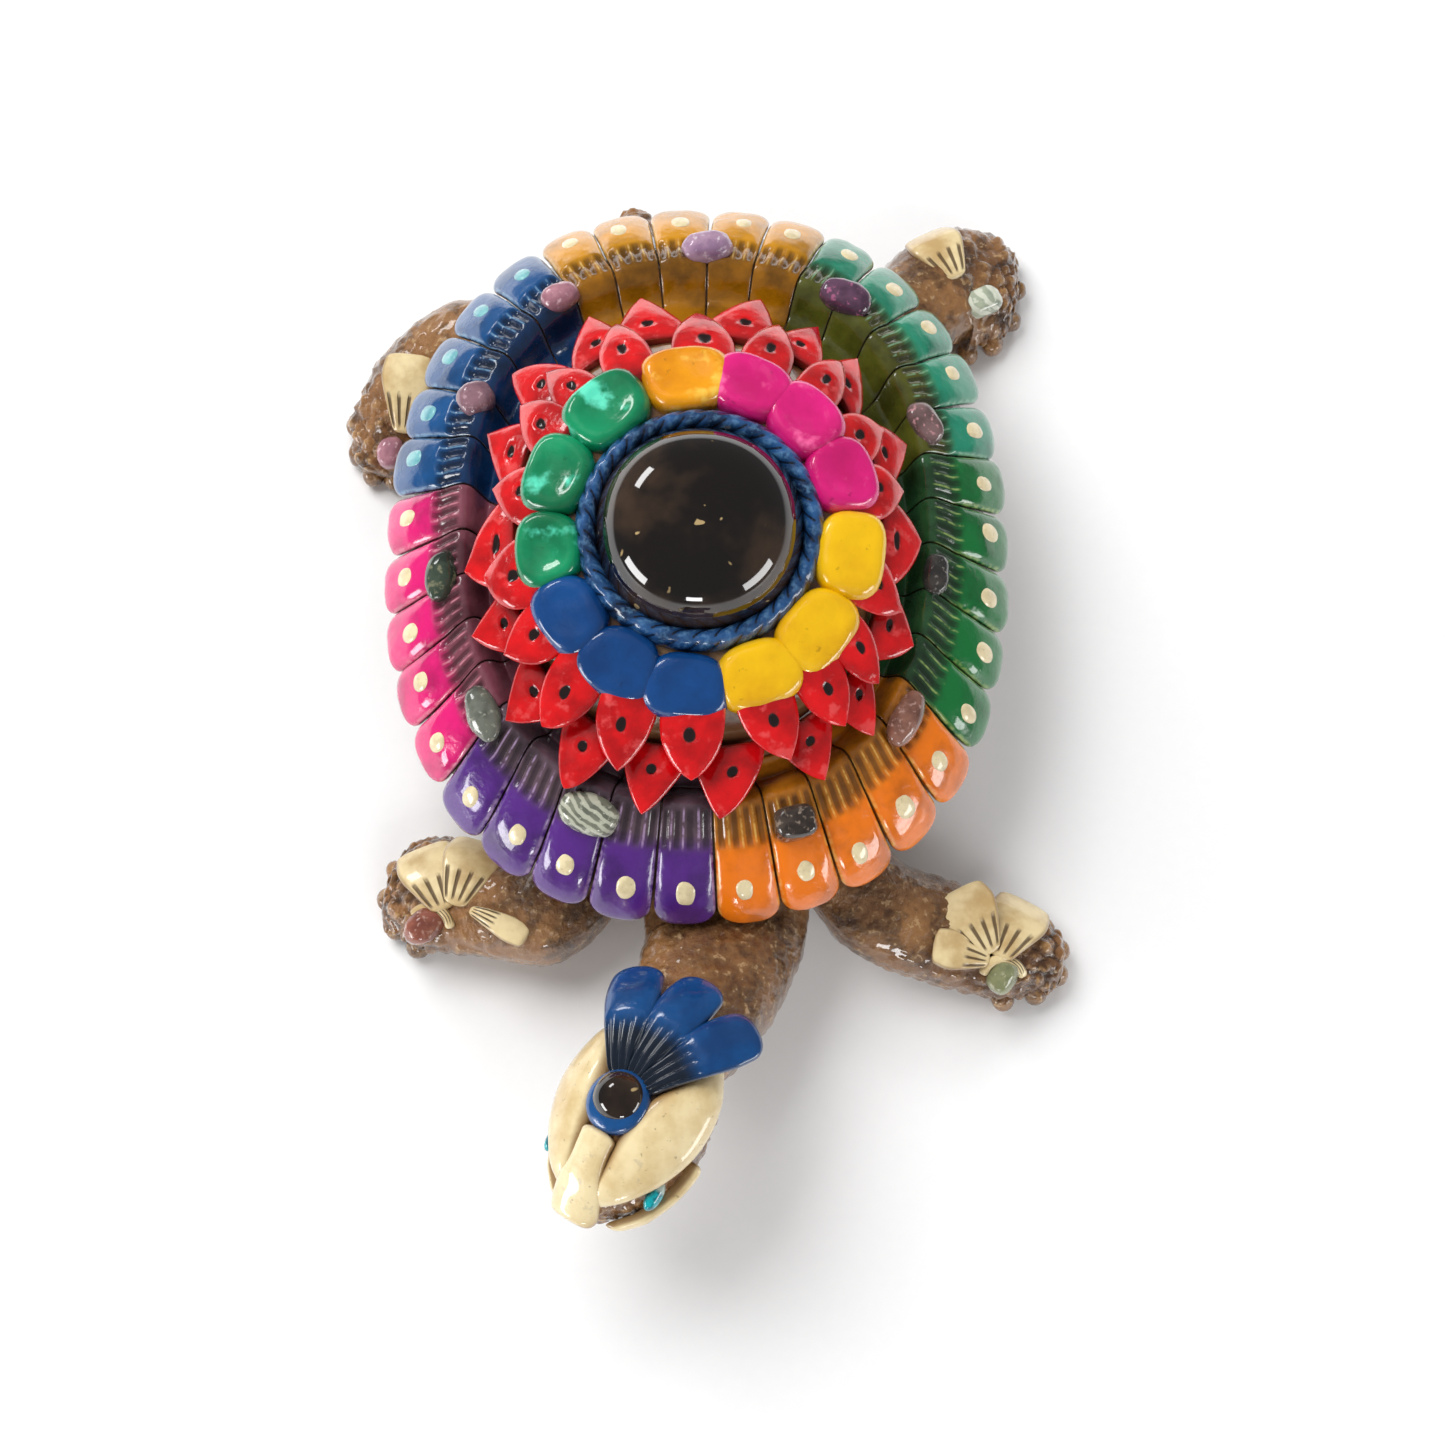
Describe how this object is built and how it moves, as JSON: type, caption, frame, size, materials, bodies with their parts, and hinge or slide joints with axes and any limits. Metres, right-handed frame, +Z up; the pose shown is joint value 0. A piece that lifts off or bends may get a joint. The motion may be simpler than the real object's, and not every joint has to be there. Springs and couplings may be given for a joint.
{
  "type": "folk art turtle figurine",
  "caption": "Hand-modelled clay turtle with feather-like painted brim tabs, red petals, tumbled stones and a central obsidian dome; stands on four feet.",
  "frame": {"origin": "centre of the bounding box's underside, on the surface that the feet stand on", "axes": "+Z up, head towards -Y, the turtle's own left is +X"},
  "size_m": [0.21, 0.3031, 0.0991],
  "materials": {
    "amethyst": "tumbled and polished",
    "banded_agate": "tumbled and polished, banded",
    "black_agate": "tumbled and polished",
    "blue_glaze": "blue paint under thick gloss varnish, darkened inwards",
    "brown_jasper": "tumbled and polished",
    "shell_clay": "dark brown clay under gloss varnish",
    "shell_inlay": "polished shell",
    "turquoise_glass": "polished glass cabochon",
    "obsidian": "polished golden-sheen obsidian",
    "cream_glaze": "cream paint under gloss varnish, dark in the scratches",
    "green_agate": "tumbled and polished",
    "brown_glaze": "brown and gold paint under gloss varnish",
    "red_jasper": "tumbled and polished",
    "gold_glaze": "gold-amber paint under thick gloss varnish, darkened inwards",
    "green_glaze": "emerald paint under thick gloss varnish, darkened inwards",
    "grey_jade": "tumbled and polished",
    "red_glaze": "red paint under thick gloss varnish, rubbed to gold on the edges",
    "mauve_quartz": "tumbled and polished",
    "moss_agate": "tumbled and polished",
    "orange_glaze": "orange paint under thick gloss varnish, darkened inwards",
    "pink_glaze": "hot pink paint under thick gloss varnish, darkened inwards",
    "pink_grey_agate": "tumbled and polished",
    "plum_amethyst": "tumbled and polished",
    "purple_glaze": "purple paint under thick gloss varnish, darkened inwards",
    "opal_stone": "tumbled and polished",
    "rose_quartz": "tumbled and polished",
    "rope_glaze": "dark blue paint under gloss varnish, rubbed light on the strands",
    "smoky_quartz": "tumbled and polished",
    "teal_glaze": "teal paint under thick gloss varnish, darkened inwards",
    "torso_clay": "dark brown clay under gloss varnish",
    "turquoise_inlay": "polished pale turquoise",
    "yellow_glaze": "yellow paint under thick gloss varnish"
  },
  "bodies": {
    "root": {"amethyst_back_stone": "amethyst", "banded_agate_stone": "banded_agate", "black_agate_stone": "black_agate", "blue_feathers": "blue_glaze", "blue_pads": "blue_glaze", "brown_jasper_stone": "brown_jasper", "carapace": "shell_clay", "cream_inlays": "shell_inlay", "crest_feathers": "blue_glaze", "eyes": "turquoise_glass", "forehead_bezel": "blue_glaze", "forehead_obsidian": "obsidian", "front_left_cuff": "cream_glaze", "front_left_foot_stone": "green_agate", "front_left_leg": "brown_glaze", "front_left_toes": "brown_glaze", "front_right_cuff": "cream_glaze", "front_right_foot_stone": "red_jasper", "front_right_leg": "brown_glaze", "front_right_toes": "brown_glaze", "gold_feathers": "gold_glaze", "gold_pads": "gold_glaze", "green_feathers": "green_glaze", "green_pads": "green_glaze", "grey_jade_stone": "grey_jade", "head": "brown_glaze", "inner_petals": "red_glaze", "jaw_plates": "cream_glaze", "left_brow_plate": "cream_glaze", "mauve_quartz_stone": "mauve_quartz", "moss_agate_stone": "moss_agate", "neck": "brown_glaze", "nose_ridge": "cream_glaze", "obsidian_dome": "obsidian", "orange_feathers": "orange_glaze", "outer_petals": "red_glaze", "pink_feathers": "pink_glaze", "pink_grey_agate_stone": "pink_grey_agate", "pink_pads": "pink_glaze", "plum_amethyst_stone": "plum_amethyst", "purple_feathers": "purple_glaze", "rear_left_cuff": "cream_glaze", "rear_left_foot_stone": "opal_stone", "rear_left_leg": "brown_glaze", "rear_left_toes": "brown_glaze", "rear_right_cuff": "cream_glaze", "rear_right_foot_stone": "rose_quartz", "rear_right_leg": "brown_glaze", "rear_right_toes": "brown_glaze", "right_brow_plate": "cream_glaze", "rope_ring": "rope_glaze", "rose_quartz_stone": "rose_quartz", "smoky_quartz_stone": "smoky_quartz", "tail": "brown_glaze", "teal_feathers": "teal_glaze", "torso": "torso_clay", "turquoise_inlays": "turquoise_inlay", "yellow_pads": "yellow_glaze"}
  },
  "joints": []
}
